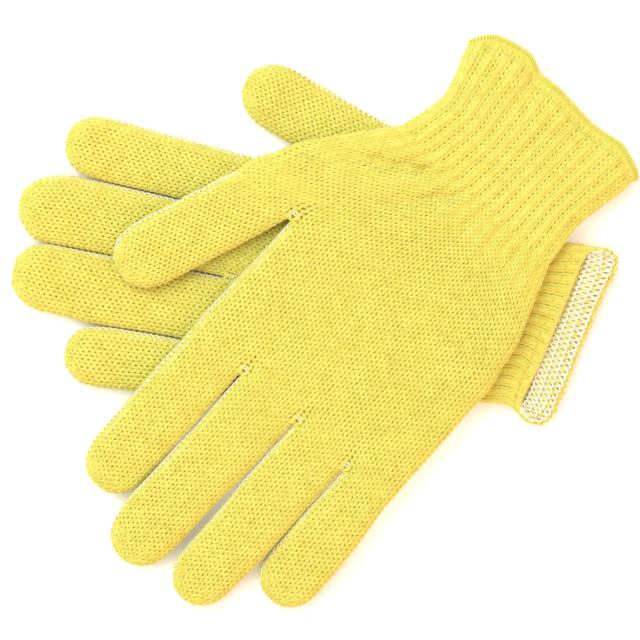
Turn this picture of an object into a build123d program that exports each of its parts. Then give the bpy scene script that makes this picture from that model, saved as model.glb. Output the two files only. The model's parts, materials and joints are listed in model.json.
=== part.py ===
"""A pair of seamless knitted cut resistant gloves, one lying across the other on a table.

Each glove is knitted in sections: four finger stalls, the palm behind them, a thumb stall, the
wider palm that takes the thumb in, and a ribbed cuff with a white elastic plating inside and an
overlocked hem. Every section is a flattened hollow tube with a wall one fabric layer thick.
Each stall folds across its middle, so it is made as a base and a tip on either side of that fold.
"""

from build123d import *
from dataclasses import dataclass
from math import atan2, cos, degrees, pi, radians, sin, sqrt
import os

os.makedirs("parts", exist_ok=True)

# Fabric, in millimetres
wall = 1.5  # one layer of knitted fabric
plating = 0.6  # the white yarn on the inside of the cuff, part of that wall
seat = 0.3  # gap between pieces that move apart

# The flattened thickness of a glove, outside to outside
flat = 9.5
hem_width = 2.8
hem_swell = 0.5  # how far the overlocked hem stands out from the cuff
pressed = 0.05  # how far the weight above presses the lower palm flat on the table

# Lengths that both gloves share, measured back from the line of the finger crotches
thumb_line = 60.0  # where the thumb joins the palm

# Rounding of a stall's tip: how far along the rounding each section lies
tip_steps = (0.0, 0.45, 0.75, 0.93)

# Flats that make up each rounded side of a flattened ring
side_flats = 6


@dataclass
class Stall:
    name: str
    side: float  # middle of the root, towards the thumb side
    root_width: float
    width: float  # across the flattened stall
    length: float  # root to tip
    tip_length: float  # fold to tip
    turn: float  # degrees towards the thumb side
    fold_rise: float  # underside at the fold, above the table
    tip_rise: float  # underside where the tip starts to round off, above the table
    fold_height: float  # thickness at the fold
    tip_height: float  # thickness of the tip
    flare: float = 10.0  # over which the root widens to the full width
    root_back: float = 0.0  # root behind the line of the finger crotches


@dataclass
class Ring:
    back: float  # behind the line of the finger crotches
    low: float  # edge on the little finger's side
    high: float  # edge on the thumb's side
    rise: float  # underside above the table
    height: float = flat


@dataclass
class Glove:
    name: str
    x: float  # middle of the finger crotches
    y: float
    heading: float  # degrees clockwise from +Y to the fingers
    rise: float  # underside of the palm above the table
    stalls: list
    palm: list
    heel: list
    cuff: list
    mouth_turn: float  # degrees the mouth is turned in plan
    mouth_lean: float  # degrees the mouth's upper layer is set back


# Underside of the upper glove's palm, where it lies on the lower glove
upper_rise = flat + seat

# How far the upper glove's stalls have sunk at their folds, on their way down to the table
middle_drop = 2.0
ring_drop = 3.6
little_drop = 4.2

upper = Glove(
    name="upper",
    x=-32.16,
    y=42.36,
    heading=0.0,
    rise=upper_rise,
    stalls=[
        Stall("index", 38.1, 27.6, 27.0, 75.0, 38.0, -1.4, upper_rise, 0.6, flat, 10.5),
        Stall("middle", 8.9, 29.6, 28.9, 90.0, 46.0, -1.0, upper_rise - middle_drop, 0.6, flat, 10.5),
        Stall("ring", -19.6, 26.6, 27.2, 84.7, 43.0, -1.4, upper_rise - ring_drop, 0.6, flat, 10.5),
        Stall("little", -45.8, 22.6, 25.9, 60.0, 30.0, -3.9, upper_rise - little_drop, 0.6, flat, 10.0,
              22.0),
        Stall("thumb", 67.9, 29.0, 28.5, 68.0, 33.0, 19.0, upper_rise, upper_rise, flat, 10.5,
              root_back=thumb_line),
    ],
    palm=[Ring(0.0, -57.1, 52.4, upper_rise), Ring(thumb_line, -55.2, 52.6, upper_rise)],
    heel=[
        Ring(thumb_line, -55.2, 82.8, upper_rise),
        Ring(85.5, -51.2, 72.6, upper_rise),
        Ring(119.0, -37.6, 46.6, upper_rise),
    ],
    cuff=[
        Ring(119.0, -37.6, 46.6, upper_rise),
        Ring(139.0, -35.0, 42.0, upper_rise),
        Ring(171.0, -40.0, 50.5, 0.8, 10.5),
    ],
    mouth_turn=0.0,
    mouth_lean=0.0,
)

lower = Glove(
    name="lower",
    x=24.64,
    y=17.16,
    heading=56.6,
    rise=0.0,
    stalls=[
        Stall("index", 37.6, 24.2, 24.7, 74.8, 38.0, 5.0, 0.0, 0.0, flat, 12.5),
        Stall("middle", 12.2, 26.0, 27.8, 89.2, 37.0, 1.4, 0.0, 0.0, flat, 12.5, 22.0),
        Stall("ring", -15.45, 26.4, 27.8, 87.0, 34.0, 0.45, 0.0, 0.0, flat, 12.5),
        Stall("little", -40.2, 19.4, 24.3, 60.0, 24.0, -4.2, 0.0, 0.0, flat, 12.0, 26.0),
        Stall("thumb", 56.2, 29.0, 27.6, 70.0, 20.0, 20.2, 0.0, 0.0, flat, 12.5,
              root_back=thumb_line),
    ],
    palm=[Ring(0.0, -50.0, 49.6, -pressed), Ring(thumb_line, -50.0, 41.2, -pressed)],
    heel=[
        Ring(thumb_line, -50.0, 70.9, 0.0),
        Ring(97.0, -36.0, 44.0, 0.0),
    ],
    cuff=[
        Ring(97.0, -36.0, 44.0, 0.0),
        Ring(126.0, -33.0, 37.5, 0.0, 9.1),
        Ring(141.0, -39.3, 39.4, 0.3, 11.0),
    ],
    mouth_turn=12.0,
    mouth_lean=-43.0,
)


def section(glove, side, back, rise, width, height, turn=0.0, pitch=0.0):
    """A flattened ring of the glove: its plane, looking towards the fingers, and its size."""
    course = radians(glove.heading)
    middle = rise + height / 2
    origin = Vector(
        glove.x + side * cos(course) - back * sin(course),
        glove.y - side * sin(course) - back * cos(course),
        middle,
    )
    bearing = radians(glove.heading + turn)
    across = Vector(cos(bearing), -sin(bearing), 0)
    along = Vector(
        sin(bearing) * cos(radians(pitch)),
        cos(bearing) * cos(radians(pitch)),
        sin(radians(pitch)),
    )
    return Plane(origin=origin, x_dir=across, z_dir=along), width, height


def on_stall(glove, stall, reach, rise, width, height, pitch=0.0):
    """A ring of a stall, the given reach from its root."""
    turn = radians(stall.turn)
    side = stall.side + reach * sin(turn)
    back = stall.root_back - reach * cos(turn)
    return section(glove, side, back, rise, width, height, stall.turn, pitch)


def pitches(glove, stall):
    """The slopes of a stall's base and tip, in degrees."""
    base_length = stall.length - stall.tip_length
    root_rise = glove.rise
    base_climb = stall.fold_rise + stall.fold_height / 2 - root_rise - flat / 2
    tip_climb = stall.tip_rise + stall.tip_height / 2 - stall.fold_rise - stall.fold_height / 2
    straight = stall.tip_length - stall.width / 2
    return degrees(atan2(base_climb, base_length)), degrees(atan2(tip_climb, straight))


def fold_section(glove, stall):
    """The ring on which a stall's base and tip meet, square to the mean of their slopes."""
    base_pitch, tip_pitch = pitches(glove, stall)
    reach = stall.length - stall.tip_length
    pitch = (base_pitch + tip_pitch) / 2
    return on_stall(glove, stall, reach, stall.fold_rise, stall.width, stall.fold_height, pitch)


def fold_line(glove, stall):
    """The hinge of a stall's tip: a point and a direction along the top of its fold."""
    plane, _, height = fold_section(glove, stall)
    return plane.origin - plane.y_dir * (height / 2), plane.x_dir


def grown(rings, amount):
    """The same rings with their outline moved outwards, or inwards for a hollow."""
    return [(plane, width + 2 * amount, height + 2 * amount) for plane, width, height in rings]


def ring_corners(width, height):
    """The corners of a flattened ring: straight above and below, and rounded at both sides."""
    reach = (width - height) / 2
    corners = []
    for side, start in ((1, -pi / 2), (-1, pi / 2)):
        for step in range(side_flats + 1):
            angle = start + pi * step / side_flats
            corners.append((side * reach + cos(angle) * height / 2, sin(angle) * height / 2))
    return corners


def knit_tube(name, outside, hollow):
    """A knitted section: a flattened tube through the outside rings, hollow through the others.

    What would reach below the table is pressed flat on it.
    """
    with BuildPart() as tube:
        for rings, mode in ((outside, Mode.ADD), (hollow, Mode.SUBTRACT)):
            for plane, width, height in rings:
                with BuildSketch(plane):
                    Polygon(*ring_corners(width, height), align=None)
            loft(ruled=True, mode=mode)
        if tube.part.bounding_box().min.Z < 0:
            split(bisect_by=Plane.XY, keep=Keep.TOP)
    tube.part.label = name
    export_step(tube.part, f"parts/{name}.step")
    return tube.part


def stall_base(glove, stall):
    """From the palm to the fold. It stops short of the fold by the running gap."""
    root_rise = glove.rise
    climb = (stall.fold_rise - root_rise) * stall.flare / (stall.length - stall.tip_length)
    fold, width, height = fold_section(glove, stall)
    rings = [
        section(glove, stall.side, stall.root_back, root_rise, stall.root_width, flat),
        on_stall(glove, stall, stall.flare, root_rise + climb, stall.width, flat),
        (fold.offset(-seat), width, height),
    ]
    knit_tube(f"{glove.name}_{stall.name}_base", rings, grown(rings, -wall))


def tip_rings(glove, stall, inset):
    """From the fold to the tip, which rounds off over half the stall's width."""
    fold, width, height = fold_section(glove, stall)
    rounding = stall.width / 2
    start = stall.length - rounding
    rings = [(fold, width - 2 * inset, height - 2 * inset)]
    for step in tip_steps:
        reach = start + step * (rounding - inset)
        full_height = stall.tip_height - 2 * inset
        ring_height = full_height * sqrt(1 - step**4)
        rise = stall.tip_rise + (stall.tip_height - ring_height) / 2
        ring_width = (stall.width - 2 * inset) * sqrt(1 - step**2)
        rings.append(on_stall(glove, stall, reach, rise, ring_width, ring_height))
    return rings


def stall_tip(glove, stall):
    name = f"{glove.name}_{stall.name}_tip"
    knit_tube(name, tip_rings(glove, stall, 0), tip_rings(glove, stall, wall))


def rings_of(glove, rings):
    """The sections of a palm or cuff, square to the glove."""
    return [
        section(glove, (r.low + r.high) / 2, r.back, r.rise, r.high - r.low, r.height)
        for r in rings
    ]


def palm_and_heel(glove):
    """The palm behind the fingers, and the heel of the hand that takes the thumb in as well."""
    for part_name, rings in (("four_finger_palm", glove.palm), ("five_finger_palm", glove.heel)):
        outside = rings_of(glove, rings)
        knit_tube(f"{glove.name}_{part_name}", outside, grown(outside, -wall))


def mouth_section(glove):
    """The mouth of the cuff, turned and leaning as it lies."""
    mouth = glove.cuff[-1]
    width = (mouth.high - mouth.low) / cos(radians(glove.mouth_turn))
    height = mouth.height / cos(radians(glove.mouth_lean))
    side = (mouth.low + mouth.high) / 2
    rise = mouth.rise + (mouth.height - height) / 2
    return section(glove, side, mouth.back, rise, width, height, glove.mouth_turn,
                   glove.mouth_lean)


def cuff_and_hem(glove):
    """The ribbed cuff, its white plating, and the hem that closes both along the mouth."""
    outside = rings_of(glove, glove.cuff[:-1]) + [mouth_section(glove)]
    between = grown(outside, plating - wall)
    knit_tube(f"{glove.name}_cuff", outside, between)
    knit_tube(f"{glove.name}_cuff_lining", between, grown(outside, -wall))
    plane, width, height = mouth_section(glove)
    bead = [
        (plane, width, height),
        (plane.offset(-hem_width / 2), width + 2 * hem_swell, height + 2 * hem_swell),
        (plane.offset(-hem_width), width, height),
    ]
    throat = [(ring[0], width - 2 * wall - hem_swell, height - 2 * wall - hem_swell) for ring in bead]
    knit_tube(f"{glove.name}_hem", bead, throat)


for glove in (lower, upper):
    palm_and_heel(glove)
    cuff_and_hem(glove)
    for stall in glove.stalls:
        stall_base(glove, stall)
        stall_tip(glove, stall)
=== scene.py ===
# %% [markdown]
# # A pair of knitted cut resistant gloves
# The gloves are seamless: one thick yarn is looped row by row into tubes for the fingers, the
# palm and the ribbed cuff. There is no cloth to speak of, only yarn, so here the yarn itself is
# modelled. Each tube of the CAD model is measured, a soft skin is laid through it, and rings of
# looped yarn are laid on that skin, one ring for each row of stitches.

# %% Load the fixed frame
import json
import math

import bpy
import numpy as np
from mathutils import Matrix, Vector


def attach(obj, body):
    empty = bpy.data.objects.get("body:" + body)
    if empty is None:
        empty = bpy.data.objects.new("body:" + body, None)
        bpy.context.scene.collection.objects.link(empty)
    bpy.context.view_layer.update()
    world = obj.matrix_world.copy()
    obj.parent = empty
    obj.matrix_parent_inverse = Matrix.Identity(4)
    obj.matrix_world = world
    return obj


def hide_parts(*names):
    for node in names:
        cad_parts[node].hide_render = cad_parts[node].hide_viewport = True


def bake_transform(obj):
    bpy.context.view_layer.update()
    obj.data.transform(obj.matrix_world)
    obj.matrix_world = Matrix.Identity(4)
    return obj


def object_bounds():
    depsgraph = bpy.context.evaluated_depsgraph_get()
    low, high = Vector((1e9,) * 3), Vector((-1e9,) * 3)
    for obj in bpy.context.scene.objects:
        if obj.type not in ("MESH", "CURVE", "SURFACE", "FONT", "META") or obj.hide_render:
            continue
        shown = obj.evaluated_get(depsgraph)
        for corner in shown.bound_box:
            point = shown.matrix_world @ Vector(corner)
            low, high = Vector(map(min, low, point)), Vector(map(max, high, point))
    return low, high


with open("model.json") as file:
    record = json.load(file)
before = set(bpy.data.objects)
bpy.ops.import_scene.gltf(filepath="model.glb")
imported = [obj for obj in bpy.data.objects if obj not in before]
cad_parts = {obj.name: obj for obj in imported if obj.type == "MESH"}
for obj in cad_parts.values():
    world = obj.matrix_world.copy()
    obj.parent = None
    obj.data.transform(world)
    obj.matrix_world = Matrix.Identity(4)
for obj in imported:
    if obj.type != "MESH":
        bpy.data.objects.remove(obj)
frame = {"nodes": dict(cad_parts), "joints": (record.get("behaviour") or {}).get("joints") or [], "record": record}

scene = bpy.context.scene
cad_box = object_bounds()
print("CAD box in mm:", [[round(c * 1000, 1) for c in corner] for corner in cad_box])

# %% [markdown]
# ## Camera, floor and light
# The pair lies on a faintly glowing white light table and is seen straight from above. The glow
# is painted light: it is strongest where the table lies open and fades under the gloves, so their
# shadows on the table are lightened. A short lens would show what lies higher as larger, and a
# long one keeps the outline true. The light is soft: a bright surround with one warm side, as from
# a coloured wall, and one large lamp from the other side, beyond the thumbs. A small lamp would be
# simpler, but its shadows would be hard.

# %% Camera
MM = 0.001
VIEW_OFF_CENTRE = (-16.7, 4.4)  # from the middle of the pair, in mm
VIEW_HEIGHT = 1.467  # above the middle of the pair, in metres
VIEW_TURN = 223.46  # degrees, which puts the fingertips of the upper glove at the bottom left
middle = (cad_box[0] + cad_box[1]) / 2
lens = bpy.data.cameras.new("camera")
lens.lens, lens.sensor_width = 200, 36
camera = bpy.data.objects.new("camera", lens)
scene.collection.objects.link(camera)
camera.location = (middle.x + VIEW_OFF_CENTRE[0] * MM, middle.y + VIEW_OFF_CENTRE[1] * MM,
                   VIEW_HEIGHT + middle.z)
camera.rotation_euler = (0, 0, math.radians(VIEW_TURN))
scene.camera = camera
print("camera at", [round(c, 3) for c in camera.location])

# %% Floor
HALF_TABLE = 3  # metres
TABLE_DROP = 1.2  # mm that the table lies below the CAD model, clear of the lowest yarn
table_mesh = bpy.data.meshes.new("floor")
table_corners = [(x * HALF_TABLE, y * HALF_TABLE, 0) for x, y in ((-1, -1), (1, -1), (1, 1), (-1, 1))]
table_mesh.from_pydata(table_corners, [], [(0, 1, 2, 3)])
floor = bpy.data.objects.new("floor", table_mesh)
scene.collection.objects.link(floor)
floor.location.z = cad_box[0].z - TABLE_DROP * MM
paper = bpy.data.materials.new("white_table")
paper.use_nodes = True
table_nodes, table_ties = paper.node_tree.nodes, paper.node_tree.links
surface = table_nodes["Principled BSDF"]
surface.inputs["Base Color"].default_value = (1.0, 0.90, 0.78, 1)
surface.inputs["Roughness"].default_value = 0.8
surface.inputs["Emission Color"].default_value = (0.9, 1.0, 1.1, 1)
# Painted light: the table's glow follows how open it is, so it fades under the gloves and lightens their shadows
# on the table.
open_table = table_nodes.new("ShaderNodeAmbientOcclusion")
open_table.inputs["Distance"].default_value = 12 * MM
glow = table_nodes.new("ShaderNodeMath")
glow.operation = "MULTIPLY"
glow.inputs[1].default_value = 0.36
table_ties.new(open_table.outputs["AO"], glow.inputs[0])
table_ties.new(glow.outputs[0], surface.inputs["Emission Strength"])
table_mesh.materials.append(paper)
print("table at", round(floor.location.z / MM, 2), "mm")

# %% Light
WARM_SIDE, OPEN_SIDE = (1.95, 1.05, 0.33, 1), (0.895, 0.99, 1.11, 1)
FADE = (-0.95, -0.3)  # directions along x between which the warm side gives way to the open one
world = bpy.data.worlds.new("studio")
scene.world = world
world.use_nodes = True
sky, ties = world.node_tree.nodes, world.node_tree.links
towards, parts = sky.new("ShaderNodeTexCoord"), sky.new("ShaderNodeSeparateXYZ")
side, tint = sky.new("ShaderNodeMapRange"), sky.new("ShaderNodeMix")
ties.new(towards.outputs["Generated"], parts.inputs[0])
ties.new(parts.outputs["X"], side.inputs["Value"])
side.inputs["From Min"].default_value, side.inputs["From Max"].default_value = FADE
tint.data_type = "RGBA"
ties.new(side.outputs["Result"], tint.inputs["Factor"])
tint.inputs["A"].default_value, tint.inputs["B"].default_value = WARM_SIDE, OPEN_SIDE
ties.new(tint.outputs["Result"], sky["Background"].inputs["Color"])
sky["Background"].inputs["Strength"].default_value = 0.83


def area_light(name, place, size, power, color):
    """A square lamp that faces the middle of the gloves. Place is from there, in metres."""
    data = bpy.data.lights.new(name, "AREA")
    data.size, data.energy, data.color = size, power, color
    lamp = bpy.data.objects.new(name, data)
    scene.collection.objects.link(lamp)
    lamp.location = middle + Vector(place)
    lamp.rotation_euler = (-Vector(place)).to_track_quat("-Z", "Y").to_euler()


area_light("key", (0.62, 0.03, 1.2), 0.9, 9.5, (0.90, 1.05, 1.23))
scene.view_settings.view_transform = "Standard"

# %% [markdown]
# ## Measuring the frame
# The skins take their size and place from the frame. The CAD pieces are cut with a plane wherever
# a skin needs a ring, and the reach of the cut across and up gives that ring its size. The hinge of
# each finger gives the finger's direction, and the flat ends of the palm give the hand's. All this
# could be typed in, but then a change of the CAD model would leave the skins behind. What the
# frame doesn't hold is given further on, such as the folds at the wrist, the waves of the
# two mouths, and how far the fingers lean on each other.

# %% Corners and edges of the CAD pieces, in millimetres
meshes = {}
for name, node in frame["nodes"].items():
    corners = np.zeros(len(node.data.vertices) * 3)
    node.data.vertices.foreach_get("co", corners)
    edges = np.zeros(len(node.data.edges) * 2, np.int32)
    node.data.edges.foreach_get("vertices", edges)
    meshes[name] = (corners.reshape(-1, 3) * 1000, edges.reshape(-1, 2))
joints = {joint["name"]: joint for joint in frame["joints"]}
mounts = {mount["name"]: mount for mount in frame["record"]["mounts"]}


# %% Cutting CAD pieces with a plane
def extents(names, at, across, up):
    """How far the pieces reach (low, high) across and (low, high) up in one plane."""
    normal = np.cross(across, up)
    points = []
    for name in names:
        corners, edges = meshes[name]
        depth = (corners - at) @ normal
        first, second = depth[edges[:, 0]], depth[edges[:, 1]]
        cut = first * second < 0
        share = (first[cut] / (first[cut] - second[cut]))[:, None]
        a, b = corners[edges[cut, 0]], corners[edges[cut, 1]]
        points.append(a + share * (b - a) - at)
    points = np.concatenate(points)
    if len(points) < 3:
        return [np.nan] * 4
    side, height = points @ across, points @ up
    return [side.min(), side.max(), height.min(), height.max()]


def reach(name, direction):
    """How far a piece reaches along a direction, as (lowest, highest)."""
    along = meshes[name][0] @ direction
    return along.min(), along.max()


def unit(vector):
    """The same direction with a length of one, for one vector or for rows of them."""
    vector = np.asarray(vector, float)
    return vector / np.linalg.norm(vector, axis=-1, keepdims=True)


UP = np.array((0.0, 0.0, 1.0))


# %% Which way each hand points
def hand_axes(glove):
    """Unit vectors towards the fingers and towards the thumb, from the palm's flat ends."""
    palm = frame["nodes"][f"{glove}_four_finger_palm"].data
    towards = meshes[f"{glove}_four_finger_palm"][0].mean(0) - meshes[f"{glove}_cuff"][0].mean(0)
    total = np.zeros(3)
    for face in palm.polygons:
        normal = np.array(face.normal)
        upright = abs(normal[2]) < 1e-3
        if upright:
            total += normal * face.area * (1 if normal @ towards > 0 else -1)
    ahead = unit(total)
    return ahead, np.array((ahead[1], -ahead[0], 0.0))


GLOVES = ("upper", "lower")
for glove in GLOVES:
    ahead, across = hand_axes(glove)
    print(glove, "glove points", round(math.degrees(math.atan2(ahead[0], ahead[1])), 2), "degrees")

# %% [markdown]
# ## Soft skins
# A sleeve is a grid of points: rings of the fabric one behind the other, each with the same
# number of wales, which are the columns of stitches. The grid can be asked for the place of any
# wale and course, a course being a row of stitches, and for a place a little outside the skin.
# Any mesh would do for the outline, but only a grid says which way each stitch runs.


# %% A sleeve of fabric
PER_COURSE = 2  # rings of points to one course


class Sleeve:
    """Rings of points, from the fingertips back to the cuff, and round from the little
    finger's edge over the top to the thumb's edge and back underneath."""

    def __init__(self, rings, wales):
        self.rings, self.wales = rings, wales
        round_it = np.roll(rings, -1, 1) - np.roll(rings, 1, 1)
        along = np.gradient(rings, axis=0)
        self.outward = unit(np.cross(along, round_it) + 1e-9)
        self.courses = (len(rings) - 1) / PER_COURSE

    def place(self, wale, course, out=0.0):
        """Points on the skin at these wales and courses, moved out from it."""
        count = self.rings.shape[1]
        i = np.asarray(wale, float) * count / (2 * self.wales)
        j = np.asarray(course, float) * PER_COURSE
        i0, j0 = np.floor(i).astype(int), np.clip(np.floor(j).astype(int), 0, len(self.rings) - 2)
        fi, fj = (i - i0)[..., None], (j - j0)[..., None]
        near, far = i0 % count, (i0 + 1) % count

        def mixed(grid):
            front = grid[j0, near] * (1 - fi) + grid[j0, far] * fi
            back = grid[j0 + 1, near] * (1 - fi) + grid[j0 + 1, far] * fi
            return front * (1 - fj) + back * fj

        normal = unit(mixed(self.outward))
        return mixed(self.rings) + normal * np.asarray(out)[..., None], normal


# %% Smoothing and shaping helpers
def smoothstep(x):
    """From 0 to 1 as x does, with a soft start and a soft end."""
    x = np.clip(x, 0, 1)
    return x * x * (3 - 2 * x)


def smoothed(values, width):
    """Each column smoothed over a few stations, with its two ends kept."""
    pad = min(int(3 * width) + 1, len(values) - 1)
    kernel = np.exp(-0.5 * (np.arange(-pad, pad + 1) / width) ** 2)
    kernel /= kernel.sum()
    out = np.empty_like(values)
    for k in range(values.shape[1]):
        padded = np.pad(values[:, k], pad, mode="reflect", reflect_type="odd")
        out[:, k] = np.convolve(padded, kernel, mode="valid")
    return out


def filled(values):
    """Missing rows, where a plane met nothing, taken from their neighbours."""
    good = ~np.isnan(values[:, 0])
    places = np.arange(len(values))
    for k in range(values.shape[1]):
        values[:, k] = np.interp(places, places[good], values[good, k])
    return values


POINTS_PER_WALE = 8
ROUNDNESS = 2.3  # power of the curve of a ring's edges: 2 is a plain ellipse
FINE_STEPS = 240  # along half a ring, before its points are spaced evenly


def soft_ring(at, across, up, size, wales, shoulder, belly):
    """A flattened ring of evenly spaced points. Its edges round off over the shoulder on top
    and over the belly underneath."""
    low, high, bottom, top = size
    half_width, half_height = (high - low) / 2, (top - bottom) / 2
    turn = np.linspace(0, math.pi, FINE_STEPS + 1)
    side = -np.cos(turn)
    inside = (1 - np.abs(side)) * half_width
    halves = []
    for edge, sign in ((shoulder, 1), (belly, -1)):
        rise = np.sqrt(1 - (1 - np.clip(inside / edge, 0, 1)) ** ROUNDNESS)
        x, z = side * half_width, sign * half_height * rise
        length = np.concatenate([[0], np.cumsum(np.hypot(np.diff(x), np.diff(z)))])
        even = np.linspace(0, length[-1], wales * POINTS_PER_WALE, endpoint=False)
        if sign < 0:
            x, length = x[::-1], length[-1] - length[::-1]
            z = z[::-1]
        halves.append(np.stack([np.interp(even, length, x), np.interp(even, length, z)], 1))
    flat = np.concatenate(halves)
    flat += [(high + low) / 2, (top + bottom) / 2]
    return at + flat[:, :1] * across + flat[:, 1:] * up


COURSE = 2.45  # mm from one row of stitches to the next


def evenly(rings):
    """The same skin with its rings spaced over a whole number of courses, measured on its top."""
    top = rings[:, : rings.shape[1] // 2]
    steps = np.linalg.norm(np.diff(top, axis=0), axis=2).mean(1)
    length = np.concatenate([[0], np.cumsum(steps)])
    count = max(1, round(length[-1] / COURSE)) * PER_COURSE + 1
    wanted = np.linspace(0, length[-1], count)
    place = np.interp(wanted, length, np.arange(len(length)))
    low = np.clip(np.floor(place).astype(int), 0, len(rings) - 2)
    share = (place - low)[:, None, None]
    return rings[low] * (1 - share) + rings[low + 1] * share


# %% [markdown]
# ## Fingers
# Each finger is a tube, closed at its tip and lying flattened. It starts in the plane of the
# palm's edge and turns into its own direction. Its skin runs inside the CAD stall, through the
# middle of the yarn, and closes over the blunt tip. One section swept along a line would be
# simpler, but would miss the flare of the root and the way a finger drapes. The upper glove's
# fingers are a touch flatter underneath, so that they fold without rubbing.

# %% Sizes of the knitting
FABRIC = 1.05  # mm from the outside of the CAD wall to the middle of the yarn
FINGERS = ("little", "ring", "middle", "index")
WALES = {"little": 8, "ring": 9, "middle": 10, "index": 9, "thumb": 10, "cuff": 32}
TUCKED = 1  # wales of a finger's side, on top and again below, that end in the crotch
WALES["palm"] = sum(WALES[finger] for finger in FINGERS) - 3 * (2 * TUCKED - 1)
WALES["heel"] = WALES["palm"] + WALES["thumb"] - (2 * TUCKED - 1)
print("wales on one side:", WALES)


# %% Fingers side by side lean on each other
PARTED = {("upper", "middle", "ring"): 26}  # a pair that parts again, in mm from the root
NEVER = 200  # mm, past the end of every finger
MOST_SWELL = {"upper": 0.95, "lower": 1.3}  # mm that one side of a finger may swell
DRAWN_BACK = 0.8  # mm that each side of a parted pair draws back by at the tip
SWELL_ENDS, BACK_AFTER = 14, 26  # mm past the parting over which the swell and the draw-back run
CLEARANCE = 0.05  # mm left on each side where two fingers touch


def lean_on_neighbours(glove, finger, root, ahead, acrosses, stations, sizes):
    """How far the two sides swell until they touch the next finger: (low, high) by station.
    Where a pair parts again, both draw back from each other."""
    swell = np.zeros((len(stations), 2))
    if finger == "thumb":
        return swell
    place = FINGERS.index(finger)
    for side, beside in ((0, place - 1), (1, place + 1)):
        if not 0 <= beside < len(FINGERS):
            continue
        names = [f"{glove}_{FINGERS[beside]}_base", f"{glove}_{FINGERS[beside]}_tip"]
        parts_at = PARTED.get((glove, *sorted((finger, FINGERS[beside]))), NEVER)
        for k, (s, a) in enumerate(zip(stations, acrosses)):
            other = extents(names, root + ahead * s, a, UP)
            gap = other[0] - sizes[k, 1] if side else sizes[k, 0] - other[1]
            most = MOST_SWELL[glove] * (1 - smoothstep((s - parts_at) / SWELL_ENDS))
            room = 0.0 if np.isnan(gap) else np.clip(gap / 2 - CLEARANCE, 0, most)
            room -= DRAWN_BACK * smoothstep((s - parts_at) / BACK_AFTER)
            swell[k, side] = room if side else -room
    return smoothed(swell, 2.0)


# %% The skin of one finger
STEP = 1.25  # mm from one cut of the CAD pieces to the next
EDGE = 0.05  # mm that the first and the last cut keep from a piece's flat ends
LAST_STEP = 0.6  # mm, the least that the last step of the even cuts keeps from the end
TIP_CUT = 0.15  # mm from the last cut of a finger to the end of its tip
PRESSED = {"upper": 0.35, "lower": 0.0}  # mm that a finger is flatter underneath
PRESSED_THUMB = {"upper": 0.6, "lower": 0.0}
TURNING = 20  # mm over which a finger turns from the hand's direction into its own
FINGER_SHOULDER, FINGER_BELLY = 0.36, 0.24  # rounding of the edges, as shares of the width
BLUNT_SHARE, BLUNT_START = 0.62, 6  # widths from the end where the tip begins; mm it sets in over
SMOOTH, SMOOTH_TIP = 3.0, 0.9  # stations over which sizes are smoothed
TIP_CLOSING, TIP_DEPTH = (0.4, 0.75, 0.93, 0.99), 1.6  # the tip's last rings, and its depth in mm


def finger_skin(glove, finger):
    """Sleeve of a finger from its tip back to its root."""
    ahead, across = hand_axes(glove)
    hinge = joints[f"{glove}_{finger}_fold"]
    fold, own_across = np.array(hinge["pos_m"]) * 1000, np.array(hinge["axis"])
    own_ahead = np.array((-own_across[1], own_across[0], 0.0))
    names = [f"{glove}_{finger}_base", f"{glove}_{finger}_tip"]
    palm = f"{glove}_four_finger_palm"
    root_line = reach(palm, ahead)[0 if finger == "thumb" else 1]
    root = fold + own_ahead * (root_line - fold @ ahead) / (own_ahead @ ahead)
    root[2] = 0.0
    length = reach(names[1], own_ahead)[1] - root @ own_ahead
    stations = np.concatenate([[EDGE], np.arange(STEP, length - LAST_STEP, STEP), [length - TIP_CUT]])
    turned = smoothstep(stations / TURNING)[:, None]
    acrosses = unit(across * (1 - turned) + own_across * turned)
    sizes = filled(np.array([extents(names, root + own_ahead * s, a, UP)
                             for s, a in zip(stations, acrosses)]))
    sizes[:, :2] += lean_on_neighbours(glove, finger, root, own_ahead, acrosses, stations, sizes)
    tip = BLUNT_SHARE * (sizes[0, 1] - sizes[0, 0])
    blunt = smoothstep((stations - length + tip) / BLUNT_START)[:, None]
    sizes = smoothed(sizes, SMOOTH) * (1 - blunt) + smoothed(sizes, SMOOTH_TIP) * blunt
    pressed = (PRESSED_THUMB if finger == "thumb" else PRESSED)[glove]
    sizes += [FABRIC, -FABRIC, FABRIC + pressed, -FABRIC]
    rings = []
    closing = [(s, a, z, 1.0) for s, a, z in zip(stations, acrosses, sizes)]
    for share in TIP_CLOSING:
        closing.append((stations[-1] - FABRIC + TIP_DEPTH * share, acrosses[-1], sizes[-1],
                        math.sqrt(1 - share**2)))
    for s, a, size, shrink in closing:
        centre = np.array([size[0] + size[1]] * 2 + [size[2] + size[3]] * 2) / 2
        size = centre + (size - centre) * shrink
        width = size[1] - size[0]
        rings.append(soft_ring(root + own_ahead * s, a, UP, size, WALES[finger],
                               FINGER_SHOULDER * width, FINGER_BELLY * width))
    return Sleeve(evenly(np.array(rings[::-1])), WALES[finger])


skins = {(glove, finger): finger_skin(glove, finger)
         for glove in GLOVES for finger in FINGERS + ("thumb",)}
print({f"{g} {f}": skin.courses for (g, f), skin in skins.items()})

# %% [markdown]
# ## Palm and heel
# Where the fingers meet, the palm's edge is a row of low lobes, one to a finger. They are taken
# from the rings at the fingers' roots, all but the wales that face each other: those end in the
# crotch, and the palm crosses over them in a single wale. Behind the edge the lobes melt into the
# flat palm, so the wales run straight on. The heel takes in the thumb in the same way. Solids could
# be joined by a boolean instead, but that leaves no even grid for the stitches to follow.


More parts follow.
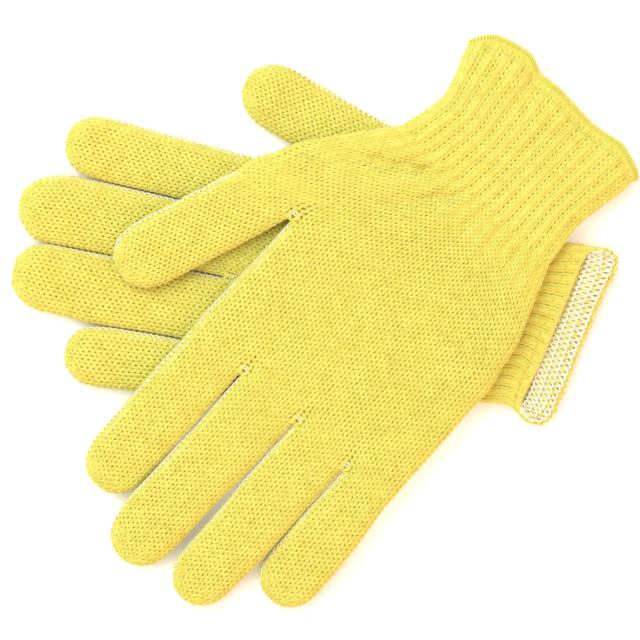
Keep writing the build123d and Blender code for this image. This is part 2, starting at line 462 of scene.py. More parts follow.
# %% A ring made of several smaller rings side by side
def lobed_ring(parts):
    """One ring round the last rings of several sleeves, given from the little finger's side."""
    tucked = TUCKED * POINTS_PER_WALE
    halves = []
    for over in (True, False):
        order = parts if over else parts[::-1]
        before = None
        for k, part in enumerate(order):
            ring = part.rings[-1]
            count = len(ring) // 2
            half = ring[:count] if over else ring[count:]
            first = tucked if k else 0
            last = count - tucked if k < len(order) - 1 else count
            if before is not None:
                share = np.arange(POINTS_PER_WALE)[:, None] / POINTS_PER_WALE
                halves.append(before * (1 - share) + half[first] * share)
            halves.append(half[first:last])
            before = half[last] if last < count else None
    return np.concatenate(halves)


def crotches(parts):
    """For each pair of neighbours, the two facing sides, both from the top down."""
    tucked = TUCKED * POINTS_PER_WALE
    turn = np.arange(-tucked, tucked + 1)
    pairs = []
    for near, far in zip(parts, parts[1:]):
        one, other = near.rings[-1], far.rings[-1]
        pairs.append((one[len(one) // 2 + turn], other[-turn]))
    return pairs


# %% Gathers and folds between the palm and the wrist
FOLDS = {  # for each fold: its place at the wrist as a share of the way to the thumb, how far it
    # drifts that way in each mm, its half width as a share, and its depth and length in mm
    "upper": ((0.66, 0.010, 0.050, 5.0, 38), (0.535, 0.0045, 0.033, 3.8, 38),
              (0.91, 0.002, 0.03, 1.4, 26), (0.40, 0.002, 0.04, 1.2, 34), (0.18, 0.0, 0.03, 1.0, 28)),
    "lower": ((0.74, 0.006, 0.05, 2.2, 44), (0.42, 0.002, 0.04, 1.0, 30)),
}
RIB_REACH, RIB_HEIGHT = 34, 0.55  # mm that the cuff's ribs run on into the heel, and their height
FOLD_START = 9  # mm from the wrist over which a fold sets in


def gathered(rings, stations, glove, wales):
    """The heel's rings, drawn in by the ribs of the cuff and folded a little over the top."""
    from_wrist = (stations[-1] - stations)[:, None]
    wale = np.arange(rings.shape[1])[None] / POINTS_PER_WALE
    ribs = RIB_HEIGHT * np.sin(math.pi * wale * WALES["cuff"] / wales)
    ribs = ribs * smoothstep(1 - from_wrist / RIB_REACH) ** 1.5
    drop = np.zeros_like(ribs)
    for share, drift, width, depth, length in FOLDS[glove]:
        away = (wale / wales - share - drift * from_wrist) / width
        drop += (depth * np.exp(-away**2) * smoothstep(1 - from_wrist / length)
                 * smoothstep(from_wrist / FOLD_START))
    edge = np.minimum(wale, 2 * wales - wale)
    side = np.sign(wales - wale) * smoothstep(np.minimum(np.abs(edge), np.abs(wales - wale)) / 4)
    return rings + UP * (ribs * side - drop * (wale < wales))[..., None]


# %% The skin of one section of the hand
HAND_SHOULDER, HAND_BELLY = 11.0, 6.0  # mm over which the edges of the hand round off
MELT = {"palm": 12.0, "heel": 16.0}  # mm over which the lobes melt into the flat section


def hand_skin(glove, node, parts, wales, fade):
    """Sleeve through a palm node. It starts on the lobed ring of its parts."""
    ahead, across = hand_axes(glove)
    back, front = reach(node, ahead)
    stations = np.concatenate([[EDGE], np.arange(STEP, front - back - LAST_STEP, STEP),
                               [front - back - EDGE]])
    sizes = filled(np.array([extents([node], ahead * (front - s), across, UP) for s in stations]))
    sizes = smoothed(sizes, SMOOTH) + [FABRIC, -FABRIC, FABRIC, -FABRIC]
    lobes = lobed_ring(parts)
    rings = []
    for s, size in zip(stations, sizes):
        oval = soft_ring(ahead * (front - s), across, UP, size, wales, HAND_SHOULDER, HAND_BELLY)
        share = smoothstep(s / fade)
        rings.append((lobes - ahead * (s - stations[0])) * (1 - share) + oval * share)
    rings = np.array(rings)
    if node == f"{glove}_five_finger_palm":
        rings = gathered(rings, stations, glove, wales)
    return Sleeve(evenly(rings), wales)


for glove in GLOVES:
    palm = hand_skin(glove, f"{glove}_four_finger_palm", [skins[glove, f] for f in FINGERS],
                     WALES["palm"], MELT["palm"])
    skins[glove, "palm"] = palm
    skins[glove, "heel"] = hand_skin(glove, f"{glove}_five_finger_palm",
                                     [palm, skins[glove, "thumb"]], WALES["heel"], MELT["heel"])
    print(glove, "palm and heel:", palm.courses, skins[glove, "heel"].courses, "courses")


# %% [markdown]
# ## Cuff
# The cuff's rings lean step by step from the wrist's plane into the plane of the mouth, which
# the mount of each mouth gives. A straight tube with its end cut at a slant would be simpler, but
# its courses would end at the cut, and knitted ones run round the mouth without a break. The edge
# of the mouth is slack and waves a little.

# %% The skin of one cuff
MOUTH = {  # places from the little finger's side to the thumb's; how far the top and the bottom
    # edge stand out there, and how far the top edge lifts, in mm
    "upper": ((0, 0.05, 0.12, 0.175, 0.25, 0.325, 0.43, 0.547, 0.6, 0.654, 0.74, 0.84, 0.93, 1),
              (-1.5, 0.8, 2.7, 3.9, 2.4, 1.4, 1.8, 2.6, 2.1, 1.5, 4.9, 3.4, 0.2, -8.5),
              (-1.0, 0.3, 1.5, 2.5, 2.0, 1.0, 1.4, 1.8, 1.4, 1.2, 3.4, 2.4, 0.0, -8.5),
              (0, 0.6, 0.9, 1.2, -0.4, -1.0, 0.6, 1.1, -0.3, -1.3, 1.6, 0.8, 0, 0)),
    "lower": ((0, 0.12, 0.3, 0.5, 0.7, 0.85, 0.94, 1), (-1.5, -3.4, -2.7, -2.2, -2.2, -1.8, 0.6, 5.0),
              (3.0, 5.2, 5.4, 5.0, 5.2, 6.2, 7.0, 6.0),
              (0.2, -0.8, -1.9, -1.7, -2.1, -1.5, -0.4, 0)),
}


CUFF_SHOULDER, CUFF_BELLY = 9.0, 8.0  # mm over which the edges of the cuff round off
CUFF_IN = FABRIC + 0.3  # mm from the outside of the cuff to its yarn, with room for the ribs
LEANING = 1.6  # power of the way to the mouth at which the rings lean
SLACK_FROM = 0.45  # share of the way to the mouth at which its waves set in
BLUR = {"upper": 13, "lower": 25}  # points over which the waves are evened out


def cuff_skin(glove):
    """Sleeve of the cuff from the wrist to its mouth."""
    ahead, across = hand_axes(glove)
    node = f"{glove}_cuff"
    wrist_along = reach(f"{glove}_five_finger_palm", ahead)[0]
    mouth = np.array(mounts[f"{glove}_cuff_mouth"]["pos_m"]) * 1000
    outwards = np.array(mounts[f"{glove}_cuff_mouth"]["axis"])
    middle_wrist = np.array(extents([node], ahead * (wrist_along - 0.1), across, UP))
    start = (ahead * wrist_along + across * middle_wrist[:2].mean() + UP * middle_wrist[2:].mean())
    hem_depth = np.ptp(meshes[f"{glove}_hem"][0] @ outwards)
    finish = mouth - outwards * hem_depth
    last_across = unit(np.cross(outwards, UP))
    last_across = last_across * np.sign(last_across @ across)
    last_up = unit(np.cross(last_across, -outwards))
    last_up = last_up * np.sign(last_up[2])
    stations = np.linspace(0.003, 0.997, 40)
    rings, sizes, planes = [], [], []
    for share in stations:
        lean = share**LEANING
        a = unit(across * (1 - lean) + last_across * lean)
        u = UP * (1 - lean) + last_up * lean
        u = unit(u - (u @ a) * a)
        at = start * (1 - share) + finish * share
        planes.append((at, a, u))
        sizes.append(extents([node], at, a, u))
    sizes = smoothed(filled(np.array(sizes)), 2.5)
    sizes += [CUFF_IN, -CUFF_IN, CUFF_IN, -CUFF_IN]
    places, over, under, lift = MOUTH[glove]
    count = WALES["cuff"] * POINTS_PER_WALE
    share = np.arange(count) / count
    wave = np.concatenate([np.interp(share, places, over), np.interp(1 - share, places, under)])
    flute = np.concatenate([np.interp(share, places, lift), np.zeros(count)])
    blur = BLUR[glove]
    wave, flute = (np.convolve(np.pad(w, blur // 2, mode="wrap"), np.ones(blur) / blur, "valid")
                   for w in (wave, flute))
    for (at, a, u), size, share in zip(planes, sizes, stations):
        ring = soft_ring(at, a, u, size, WALES["cuff"], CUFF_SHOULDER, CUFF_BELLY)
        slack = smoothstep((share - SLACK_FROM) / (1 - SLACK_FROM)) ** 1.5
        rings.append(ring + (outwards * wave[:, None] + u * flute[:, None]) * slack)
    return Sleeve(evenly(np.array(rings)), WALES["cuff"])


for glove in GLOVES:
    skins[glove, "cuff"] = cuff_skin(glove)
    print(glove, "cuff:", skins[glove, "cuff"].courses, "courses")


# %% [markdown]
# ## Yarn
# A stitch is one wave of the yarn: up one leg of a loop, over its head and down the other leg,
# leaning into its neighbours on the way. A bump on a smooth tube could stand for it, but the
# outline would stay smooth and no holes would open between the loops. With one wave each for lean,
# height and depth, a course is a single closed line, which a section with a few sides follows.
# Arrays of numbers make all the courses of a piece into one mesh, which is quicker than hundreds
# of curve objects. Every stitch is a little uneven.


# %% Meshes put together from arrays
MARGIN = 0.002  # of the baking map, kept free at both ends of a strip


def net(rows, columns, strips):
    """Row and column of each quad in the first strips of a net of points, and its corners. The
    net closes round its columns, and round its rows too if there are as many strips."""
    i, j = np.meshgrid(np.arange(strips), np.arange(columns), indexing="ij")
    i2, j2 = (i + 1) % rows * columns, (j + 1) % columns
    return i, j, np.stack([i * columns + j, i2 + j, i2 + j2, i * columns + j2], -1).reshape(-1, 4)


class Pile:
    """Collects tubes and skins, then makes one mesh of them."""

    def __init__(self):
        self.verts, self.quads, self.slots, self.tones = [], [], [], []
        self.bake, self.yarn, self.count = [], [], 0

    def add(self, verts, quads, slot, tone, bake, yarn):
        """Keeps some faces, with their material slot, tone and two maps, for the mesh."""
        self.verts.append(verts)
        self.quads.append(quads + self.count)
        self.slots.append(np.full(len(quads), slot, np.int32))
        self.tones.append(np.broadcast_to(tone, len(verts)).astype(np.float32))
        self.bake.append(bake.reshape(-1, 2))
        self.yarn.append(yarn.reshape(-1, 2))
        self.count += len(verts)

    def tube(self, path, outward, radius, sides, slot, tone, row, closed=False):
        """A round yarn along a path. Row is (low, high): its strip of the baking map."""
        count = len(path)
        if closed:
            run = np.roll(path, -1, 0) - np.roll(path, 1, 0)
        else:
            run = np.gradient(path, axis=0)
        run = unit(run + 1e-12)
        side = unit(np.cross(run, outward) + 1e-12)
        rise = np.cross(side, run)
        angle = np.arange(sides) / sides * 2 * math.pi
        radius = np.broadcast_to(radius, count)[:, None, None]
        spread = (np.cos(angle)[None, :, None] * side[:, None]
                  + np.sin(angle)[None, :, None] * rise[:, None])
        verts = (path[:, None] + radius * spread).reshape(-1, 3)
        last = count if closed else count - 1
        i, j, quads = net(count, sides, last)
        length = np.concatenate([[0], np.cumsum(np.linalg.norm(np.diff(path, axis=0), axis=1))])
        length = np.append(length, length[-1] + np.linalg.norm(path[0] - path[-1]))
        u = np.stack([i, i + 1, i + 1, i], -1)
        v = np.stack([j, j, j + 1, j + 1], -1) / sides
        bake = np.stack([MARGIN + (1 - 2 * MARGIN) * u / last,
                         row[0] + (row[1] - row[0]) * (0.04 + 0.92 * v)], -1)
        yarn = np.stack([length[u], v], -1)
        self.add(verts, quads, slot, np.repeat(np.broadcast_to(tone, count), sides), bake, yarn)
        if not closed:
            for end, flip in ((0, False), (count - 1, True)):
                self.cap(path[end], verts[end * sides:(end + 1) * sides], flip, slot, tone, row)

    def cap(self, centre, ring, flip, slot, tone, row):
        """A blunt end on a tube, from quads round its middle."""
        sides = len(ring)
        i = np.arange(sides)
        quads = np.stack([np.full(sides, 2 * sides), 2 * i, 2 * i + 1, (2 * i + 2) % (2 * sides)], 1)
        between = (ring + np.roll(ring, -1, 0)) / 2
        verts = np.empty((2 * sides + 1, 3))
        verts[0:2 * sides:2], verts[1:2 * sides:2], verts[-1] = ring, between, centre
        if not flip:
            quads = quads[:, ::-1]
        flat = np.tile([[0.0, row[0]], [0.001, row[0]], [0.001, row[0]], [0.0, row[0]]], (sides, 1))
        self.add(verts, quads, slot, np.ravel(tone)[0], flat, flat)

    def skin(self, outer, inner, slot, tone, row):
        """A thin closed shell between two grids of rings, open through its middle."""
        rings, count = outer.shape[:2]
        verts = np.concatenate([outer, inner[::-1]]).reshape(-1, 3)
        rows = 2 * rings
        i, j, quads = net(rows, count, rows)
        u = np.stack([j, j, j + 1, j + 1], -1) / count
        v = np.stack([i, i + 1, i + 1, i], -1) / rows
        bake = np.stack([MARGIN + (1 - 2 * MARGIN) * u,
                         row[0] + (row[1] - row[0]) * (0.02 + 0.96 * v)], -1)
        self.add(verts, quads, slot, tone, bake, bake)

    def build(self, name, materials):
        """The mesh as an object, in metres."""
        verts = np.concatenate(self.verts) * MM
        quads = np.concatenate(self.quads)
        mesh = bpy.data.meshes.new(name)
        mesh.vertices.add(len(verts))
        mesh.vertices.foreach_set("co", verts.astype(np.float32).ravel())
        mesh.loops.add(quads.size)
        mesh.loops.foreach_set("vertex_index", quads.astype(np.int32).ravel())
        mesh.polygons.add(len(quads))
        mesh.polygons.foreach_set("loop_start", np.arange(0, quads.size, 4, dtype=np.int32))
        for material in materials:
            mesh.materials.append(material)
        mesh.polygons.foreach_set("material_index", np.concatenate(self.slots))
        mesh.polygons.foreach_set("use_smooth", np.ones(len(quads), bool))
        for map_name, places in (("OFBake", self.bake), ("Yarn", self.yarn)):
            layer = mesh.uv_layers.new(name=map_name, do_init=False)
            layer.uv.foreach_set("vector", np.concatenate(places).astype(np.float32).ravel())
        tone = mesh.attributes.new("tone", "FLOAT", "POINT")
        tone.data.foreach_set("value", np.concatenate(self.tones))
        mesh.update()
        mesh.validate()
        obj = bpy.data.objects.new(name, mesh)
        scene.collection.objects.link(obj)
        return obj


# %% Rings of stitches and the shell behind them
YARN = 0.80  # radius of the yarn in mm
LEAN, TALL, DEEP = 0.26, 1.42, 0.34  # of a stitch: lean in wales, height in courses, depth in mm
SIDES = 5  # of the yarn's section
FULL_WALE = 3.2  # mm across a stitch in which the yarn has its full radius
UNEVEN = {"lean": 0.035, "height": 0.05, "depth": 0.12, "tone": 0.2}  # from stitch to stitch


def wavy(x, rng, waves, strength):
    """Smooth unevenness: a few sines of random length and phase, over all columns of x."""
    total = np.zeros(np.shape(x[0]))
    for _ in range(waves):
        phase = rng.uniform(0, 2 * math.pi)
        for column in x:
            phase = phase + column * rng.uniform(-1, 1)
        total = total + np.sin(phase)
    return strength * total / math.sqrt(waves)


def over_the_top(skin, course):
    """Length of a course from the little finger's edge over the top to the thumb's edge."""
    here = skin.place(np.arange(0, skin.wales + 0.01, 0.25), course)[0]
    return np.linalg.norm(np.diff(here, axis=0), axis=1).sum()


def stitch_rings(pile, skin, rng, rows, radius=YARN, per_stitch=(12, 12), rib=0.0, lean=LEAN,
                 tall=TALL, deep=DEEP, out=0.0, narrowing=0.0, last_dip=0.0, fuller=0.0):
    """One closed ring of looped yarn for every course of the skin. Narrowing is the full length
    over the top, below which wales are dropped. Per stitch counts the points to a stitch, on top
    and underneath. The last two courses may dip in by some mm, and the last dozen may grow
    fuller by a share."""
    courses = int(round(skin.courses))
    for course in range(courses):
        wales = skin.wales
        half = over_the_top(skin, course + 0.5)
        if narrowing:
            full = narrowing / skin.wales
            wales = max(2, skin.wales - 2 * max(0, round((skin.wales - half / full) / 2)))
        top, under = per_stitch
        t = np.concatenate([np.arange(wales * top) / top, wales + np.arange(wales * under) / under])
        angle = t * 2 * math.pi
        stitch = np.floor(t).astype(int)
        jitter = rng.normal(0, 1, (4, 2 * wales))
        wale = t + lean * np.sin(2 * angle) + UNEVEN["lean"] * jitter[0][stitch] * np.sin(angle / 2) ** 2
        height = course + 0.5 - tall / 2 * np.cos(angle) * (1 + UNEVEN["height"] * jitter[1][stitch])
        depth = -deep * np.cos(2 * angle) * (1 + UNEVEN["depth"] * jitter[2][stitch])
        if rib:
            column = np.cos(math.pi * (wale - 0.5))
            depth = depth + rib * (np.abs((column + 1) / 2) ** 0.7 * 2 - 1.25)
            wale = wale - 0.27 * rib * np.sin(math.pi * (wale - 0.5))
        wale = wale * (skin.wales / wales)
        depth = depth + out - last_dip * (course >= courses - 2)
        path, normal = skin.place(wale, height, depth)
        size = radius * np.clip(half / wales / FULL_WALE, 0.7, 1.06)
        size *= 1 + fuller * smoothstep((course - courses + 12) / 12)
        tone = (0.5 + UNEVEN["tone"] * jitter[3][stitch]
                + wavy((wale * 0.8, height * 0.8), rng, 2, 0.07))
        row = (rows[0] + (rows[1] - rows[0]) * course / courses,
               rows[0] + (rows[1] - rows[0]) * (course + 1) / courses)
        pile.tube(path, normal, size, SIDES, 0, tone, row, closed=True)


BACKING_DEPTH = 0.75  # mm from the middle of the yarn in to the shell behind it


def backing(pile, skin, thickness=0.35):
    """The inside of the fabric: a thin shell just under the loops that stops light. Its material stands for the
    back of the knit, and is darker and warmer than the yarn as painted shade for the holes between the loops.
    """
    wale = np.arange(2.0 * skin.wales)
    course = np.linspace(0.15, skin.courses - 0.02, int(skin.courses) + 1)
    w, c = np.meshgrid(wale, course)
    outer = skin.place(w, c, -BACKING_DEPTH)[0]
    inner = skin.place(w, c, -BACKING_DEPTH - thickness)[0]
    pile.skin(outer, inner, 1, 0.5, (0.91, 0.99))


# %% [markdown]
# ## Finishes
# The yarn is a matt, slightly fuzzy spun fibre. Its colour wanders a little from stitch to
# stitch, and two plies twist round each other along it, with painted shade in the grooves between
# them. An image of yarn could be laid on, but a wave along the yarn's own length gives the twist
# at any size. One group makes the twist and the colour for every yarn; each material gives it two
# colours and a length of twist.

# %% The group that every yarn shares
# The grooves between the plies are coloured darker: this is painted shade, not a colour of the yarn.
MOTTLE, PLY_GROOVE_SHADE = 0.7, 0.35  # how far the grain and the grooves between plies shift the colour
PLY_SHOULDER = 0.35  # height of a ply below which its groove darkens it


def spun_yarn_group():
    """Node group: two colours and the twist's length in, mottled colour with painted shade in the grooves between
    plies, and height, out.
    """
    tree = bpy.data.node_groups.new("spun_yarn", "ShaderNodeTree")
    for name in ("Light", "Deep"):
        tree.interface.new_socket(name, in_out="INPUT", socket_type="NodeSocketColor")
    tree.interface.new_socket("Ply length", in_out="INPUT", socket_type="NodeSocketFloat")
    tree.interface.new_socket("Color", in_out="OUTPUT", socket_type="NodeSocketColor")
    tree.interface.new_socket("Height", in_out="OUTPUT", socket_type="NodeSocketFloat")
    nodes, links = tree.nodes, tree.links
    given, made = nodes.new("NodeGroupInput"), nodes.new("NodeGroupOutput")
    place = nodes.new("ShaderNodeUVMap")
    place.uv_map = "Yarn"
    split = nodes.new("ShaderNodeSeparateXYZ")
    links.new(place.outputs["UV"], split.inputs[0])

    def math_node(kind, *values):
        """A node of sums, fed by numbers or by other nodes; gives its output."""
        node = nodes.new("ShaderNodeMath")
        node.operation = kind
        for socket, value in zip(node.inputs, values):
            if isinstance(value, (int, float)):
                socket.default_value = value
            else:
                links.new(value, socket)
        return node.outputs[0]

    turns = math_node("ADD", math_node("DIVIDE", split.outputs["X"], given.outputs["Ply length"]),
                      split.outputs["Y"])
    ply = math_node("ABSOLUTE", math_node("SINE", math_node("MULTIPLY", turns, 2 * math.pi)))
    grain = nodes.new("ShaderNodeTexNoise")
    grain.inputs["Scale"].default_value = 900
    grain.inputs["Detail"].default_value = 3
    spot = nodes.new("ShaderNodeTexCoord")
    links.new(spot.outputs["Object"], grain.inputs["Vector"])
    tone = nodes.new("ShaderNodeAttribute")
    tone.attribute_name = "tone"
    mottled = math_node("ADD", tone.outputs["Fac"],
                        math_node("MULTIPLY", math_node("SUBTRACT", grain.outputs["Fac"], 0.5),
                                  MOTTLE))
    # painted shade: the deep colour where a ply sinks into its groove
    groove_shade = math_node("MULTIPLY", math_node("SUBTRACT", PLY_SHOULDER, ply), PLY_GROOVE_SHADE)
    share = math_node("ADD", mottled, groove_shade)
    mix = nodes.new("ShaderNodeMix")
    mix.data_type = "RGBA"
    mix.clamp_factor = True
    links.new(share, mix.inputs["Factor"])
    links.new(given.outputs["Light"], mix.inputs["A"])
    links.new(given.outputs["Deep"], mix.inputs["B"])
    links.new(mix.outputs["Result"], made.inputs["Color"])
    links.new(math_node("ADD", ply, math_node("MULTIPLY", grain.outputs["Fac"], 0.8)),
              made.inputs["Height"])
    return tree


spun = spun_yarn_group()


# %% The yarns
def yarn_material(name, light, deep, ply_length=1.6):
    """A material for one yarn, with its two colours in the scene's linear light."""
    material = bpy.data.materials.new(name)
    material.use_nodes = True
    nodes, links = material.node_tree.nodes, material.node_tree.links
    shader = nodes["Principled BSDF"]
    group = nodes.new("ShaderNodeGroup")
    group.node_tree = spun
    group.inputs["Light"].default_value = (*light, 1)
    group.inputs["Deep"].default_value = (*deep, 1)
    group.inputs["Ply length"].default_value = ply_length
    bump = nodes.new("ShaderNodeBump")
    bump.inputs["Strength"].default_value = 0.35
    bump.inputs["Distance"].default_value = 0.00012
    links.new(group.outputs["Height"], bump.inputs["Height"])
    links.new(bump.outputs["Normal"], shader.inputs["Normal"])
    links.new(group.outputs["Color"], shader.inputs["Base Color"])
    shader.inputs["Roughness"].default_value = 0.8
    shader.inputs["Specular IOR Level"].default_value = 0.2
    shader.inputs["Sheen Weight"].default_value = 0.25
    shader.inputs["Sheen Roughness"].default_value = 0.5
    return material


yellow = yarn_material("yellow_yarn", (0.873, 0.767, 0.138), (0.79, 0.654, 0.088))
# The shell behind the loops: darker and warmer than the yarn, as painted shade for what shows through the holes
# between the loops.
inside = yarn_material("knit_back_with_hole_shade", (0.84, 0.67, 0.09), (0.76, 0.57, 0.065))
white = yarn_material("white_stretch_yarn", (0.94, 0.89, 0.68), (0.90, 0.82, 0.46), 1.1)
pale = yarn_material("pale_edge_thread", (0.95, 0.86, 0.41), (0.90, 0.72, 0.15), 1.2)
print("materials:", [m.name for m in bpy.data.materials])

# %% [markdown]
# ## Knitting the gloves
# Each section becomes one piece: its rings of yarn and the shell behind them, which stands for
# the back of the knit and is coloured darker and warmer than the yarn as painted shade for the
# holes between the loops. A finger crosses its fold and is left as a piece of its own; the rest
# rides on the hand. A white stretch yarn runs behind the yellow one, and white strands run along
# the edges nearest the thumb. Single stitches could be coloured white, but it shows between the
# loops, so it is a thin yarn of its own.


# %% White strands along the edge nearest the thumb
EDGE_STRAND_RADIUS = 0.34  # radius of the white yarn in mm
EDGE_STRAND_INSET = 0.45  # wales in from the thumb's edge
STRANDS = ((0.0, 0.5), (0.7, -0.05))  # wales further in, and mm outside the skin
EDGE_STRAND_ROWS = (0.885, 0.9)  # strip of the baking map


def white_edge_strands(pile, skin, rng, start, stop):
    """White strands that weave in and out of the skin along the edge nearest the thumb."""
    for inwards, out in STRANDS:
        course = np.arange(start, stop, 1 / 8)
        turn = 2 * math.pi * course + rng.uniform(0, 6)
        ragged = wavy((course,), rng, 3, 0.3)
        wale = skin.wales - EDGE_STRAND_INSET - inwards + 0.33 * np.sin(turn) + 0.2 * ragged
        lift = out + 0.38 * np.cos(2 * turn) + 0.5 * ragged
        path, normal = skin.place(wale, course + 0.2 * np.sin(2 * turn), lift)
        pile.tube(path, normal, EDGE_STRAND_RADIUS, SIDES, 2, 0.5 + 0.3 * ragged, EDGE_STRAND_ROWS)


def knit_finger(glove, finger, seed):
    """One finger, as a piece of its own, from its root to its tip."""
    rng = np.random.default_rng(seed)
    skin = skins[glove, finger]
    pile = Pile()
    near_the_root = over_the_top(skin, skin.courses - 6)
    stitch_rings(pile, skin, rng, (0.0, 0.88), radius=0.84, narrowing=near_the_root)
    white_edge_strands(pile, skin, rng, 2.5, skin.courses - 0.4)
    backing(pile, skin)
    piece = pile.build(f"{glove}_{finger}", [yellow, inside, white])
    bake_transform(piece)
    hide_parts(f"{glove}_{finger}_base", f"{glove}_{finger}_tip")
    print(piece.name, len(piece.data.polygons), "faces")


for g, glove in enumerate(GLOVES):
    for f, finger in enumerate(FINGERS + ("thumb",)):
        knit_finger(glove, finger, 10 * g + f)


# %% Closing the crotch between two fingers
LACE, LOOP = 0.7, 0.36  # radius of the lacing yarn and of the white loops, in mm
LACINGS = 2.5  # times that the lace goes across and back
LOOPS_BACK = (0.6, 2.2)  # mm from the crotch back to each white loop


def close_crotch(pile, sides, ahead, rng):
    """Yarn laced from one side to the other down the crotch, and two white loops on top."""
    one, other = sides
    t = np.linspace(0, 1, 41)
    at = t * (len(one) - 1)
    near = np.stack([np.interp(at, np.arange(len(one)), one[:, k]) for k in range(3)], 1)
    far = np.stack([np.interp(at, np.arange(len(one)), other[:, k]) for k in range(3)], 1)
    phase = 2 * math.pi * LACINGS * t
    behind = ahead * (0.2 + 0.5 * np.cos(phase)[:, None])
    lace = (near + far) / 2 + (far - near) * 0.5 * np.sin(phase)[:, None] - behind
    pile.tube(lace, np.broadcast_to(ahead, lace.shape), LACE, SIDES, 0, 0.5, (0.0, 0.01))
    over, across = (one[0] + other[0]) / 2, (other[0] - one[0]) / 2
    for back in LOOPS_BACK:
        turn = np.linspace(0.05, 0.95, 11) * math.pi
        bow = (over + across * np.cos(turn)[:, None] * rng.uniform(0.45, 0.65)
               - ahead * (back + rng.uniform(1.2, 1.8) * np.sin(turn))[:, None]
               + UP * (0.35 + 0.5 * np.sin(turn))[:, None])
        pile.tube(bow, np.broadcast_to(UP, bow.shape), LOOP, SIDES, 2, 0.6, (0.01, 0.02))


# %% Palm and heel
JOINED = {"palm": FINGERS, "heel": ("palm", "thumb")}  # what each section takes in
FULLER = {"palm": 0.0, "heel": 0.28}  # share by which the yarn is fuller where the cuff begins


def knit_hand(glove, part, node, seed, per_stitch):
    """The palm or the heel, with the crotches between the sections that it takes in."""
    rng = np.random.default_rng(seed)
    skin = skins[glove, part]
    pile = Pile()
    stitch_rings(pile, skin, rng, (0.02, 0.88), per_stitch=per_stitch, fuller=FULLER[part])
    backing(pile, skin)
    for sides in crotches([skins[glove, joined] for joined in JOINED[part]]):
        close_crotch(pile, sides, hand_axes(glove)[0], rng)
    if part == "palm":
        white_edge_strands(pile, skin, rng, 0.6, skin.courses - 1)
    piece = pile.build(f"{glove}_{part}", [yellow, inside, white])
    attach(piece, f"{glove}_hand")
    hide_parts(node)
    print(piece.name, len(piece.data.polygons), "faces")


for g, glove in enumerate(GLOVES):
    knit_hand(glove, "palm", f"{glove}_four_finger_palm", 30 + g, (12, 8))
    knit_hand(glove, "heel", f"{glove}_five_finger_palm", 40 + g, (12, 6))


# %% [markdown]
# ## Knitting the cuffs and sewing the hems
# A cuff's ribs are columns of stitches that stand out and sink back in turn, so the same rings of
# yarn serve, moved out and in by a wave. Inside, the stretch yarn shows as a second, white fabric.
# The mouth is overlocked so that it doesn't run. A plain ring would do from afar. Here a thread is
# wrapped round the rim, over two soft cores that fill it.


# %% Cuffs and their white plating
RIB = {  # half depth of the ribs, lean of their stitches, radius of their yarn, height in courses
    "upper": (0.38, 0.22, 1.07, 1.6),
    "lower": (0.42, 0.15, 1.10, 1.9),
}
LAST_DIP = 0.63  # mm by which the last two courses dip under the hem
PLATING_IN = -1.75  # mm from the ribs in to the white plating


def knit_cuff(glove, seed):
    """The ribbed cuff, and the white plating inside it as a piece of its own."""
    rng = np.random.default_rng(seed)
    skin = skins[glove, "cuff"]
    pile = Pile()
    rib, lean, radius, tall = RIB[glove]
    stitch_rings(pile, skin, rng, (0.0, 0.9), rib=rib, lean=lean, tall=tall, radius=radius,
                 last_dip=LAST_DIP)
    piece = pile.build(f"{glove}_ribbed_cuff", [yellow, inside])
    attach(piece, f"{glove}_hand")
    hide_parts(f"{glove}_cuff")
    pile = Pile()
    stitch_rings(pile, skin, rng, (0.0, 0.9), out=PLATING_IN, per_stitch=(10, 10), radius=0.72,
                 lean=0.27, tall=1.25, deep=0.55)
    backing(pile, skin, 0.3)
    lining = pile.build(f"{glove}_white_plating", [white, inside])
    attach(lining, f"{glove}_hand")
    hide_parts(f"{glove}_cuff_lining")
    print(piece.name, len(piece.data.polygons), lining.name, len(lining.data.polygons))


# %% Hems
HEM = {  # half height and half depth of the band, radius and spacing of its thread, in mm
    "upper": (1.45, 1.70, 0.42, 0.86),
    "lower": (0.75, 0.80, 0.34, 0.95),
}
RIM_OUT = 0.3  # mm that the band's middle stands out from the last course
POINTS_PER_TURN = 12  # of the wrapped thread


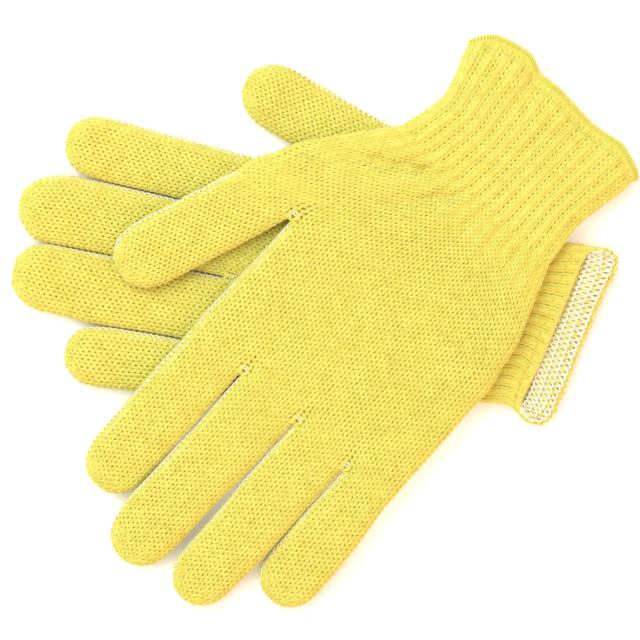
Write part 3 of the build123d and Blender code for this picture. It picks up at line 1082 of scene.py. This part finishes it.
def sew_hem(glove, seed):
    """The overlocked edge: thread wrapped closely round the rim of the mouth."""
    rng = np.random.default_rng(seed)
    skin = skins[glove, "cuff"]
    half_height, half_depth, thread, pitch = HEM[glove]
    pile = Pile()
    count = 2 * skin.wales * POINTS_PER_WALE
    wale = np.arange(count) / POINTS_PER_WALE
    rim, out = skin.place(wale, skin.courses, -0.5)
    inner = skin.place(wale, skin.courses - 0.5, -0.5)[0]
    away = unit(rim - inner)
    rim = rim + away * RIM_OUT
    length = np.linalg.norm(np.roll(rim, -1, 0) - rim, axis=1)
    turns = round(length.sum() / pitch)
    steps = turns * POINTS_PER_TURN
    t = np.arange(steps) / steps
    i = t * count
    i0 = np.floor(i).astype(int)
    share = (i - i0)[:, None]

    def along(values):
        """The rim's own values, read off at every point of the thread."""
        return values[i0] * (1 - share) + values[(i0 + 1) % count] * share

    for shift, row in ((0.5, (0.05, 0.1)), (-0.5, (0.0, 0.05))):
        core = rim + away * shift * half_depth
        pile.tube(core, out, half_height * 0.9, 8, 0, 0.6, row, closed=True)
    angle = 2 * math.pi * turns * t + 0.25 * np.sin(2 * math.pi * turns * t)
    size = 1 + wavy((t * 300,), rng, 3, 0.04)
    o, w = unit(along(out)), unit(along(away))
    path = along(rim) + size[:, None] * (half_height * np.cos(angle)[:, None] * o
                                         + half_depth * np.sin(angle)[:, None] * w)
    top_or_under = np.sign(along(out)[:, 2]) * (glove == "lower")
    tone = 0.45 + 0.5 * top_or_under + wavy((t * 500,), rng, 3, 0.1)
    pile.tube(path, unit(path - along(rim)), thread, SIDES, 1, tone, (0.1, 1.0), closed=True)
    piece = pile.build(f"{glove}_overlocked_hem", [yellow, yellow if glove == "upper" else pale])
    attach(piece, f"{glove}_hand")
    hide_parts(f"{glove}_hem")
    print(piece.name, len(piece.data.polygons), "faces")


for g, glove in enumerate(GLOVES):
    knit_cuff(glove, 50 + g)
    sew_hem(glove, 60 + g)

# %% [markdown]
# ## Finish
# The view layer is brought up to date.

# %% Finish
bpy.context.view_layer.update()
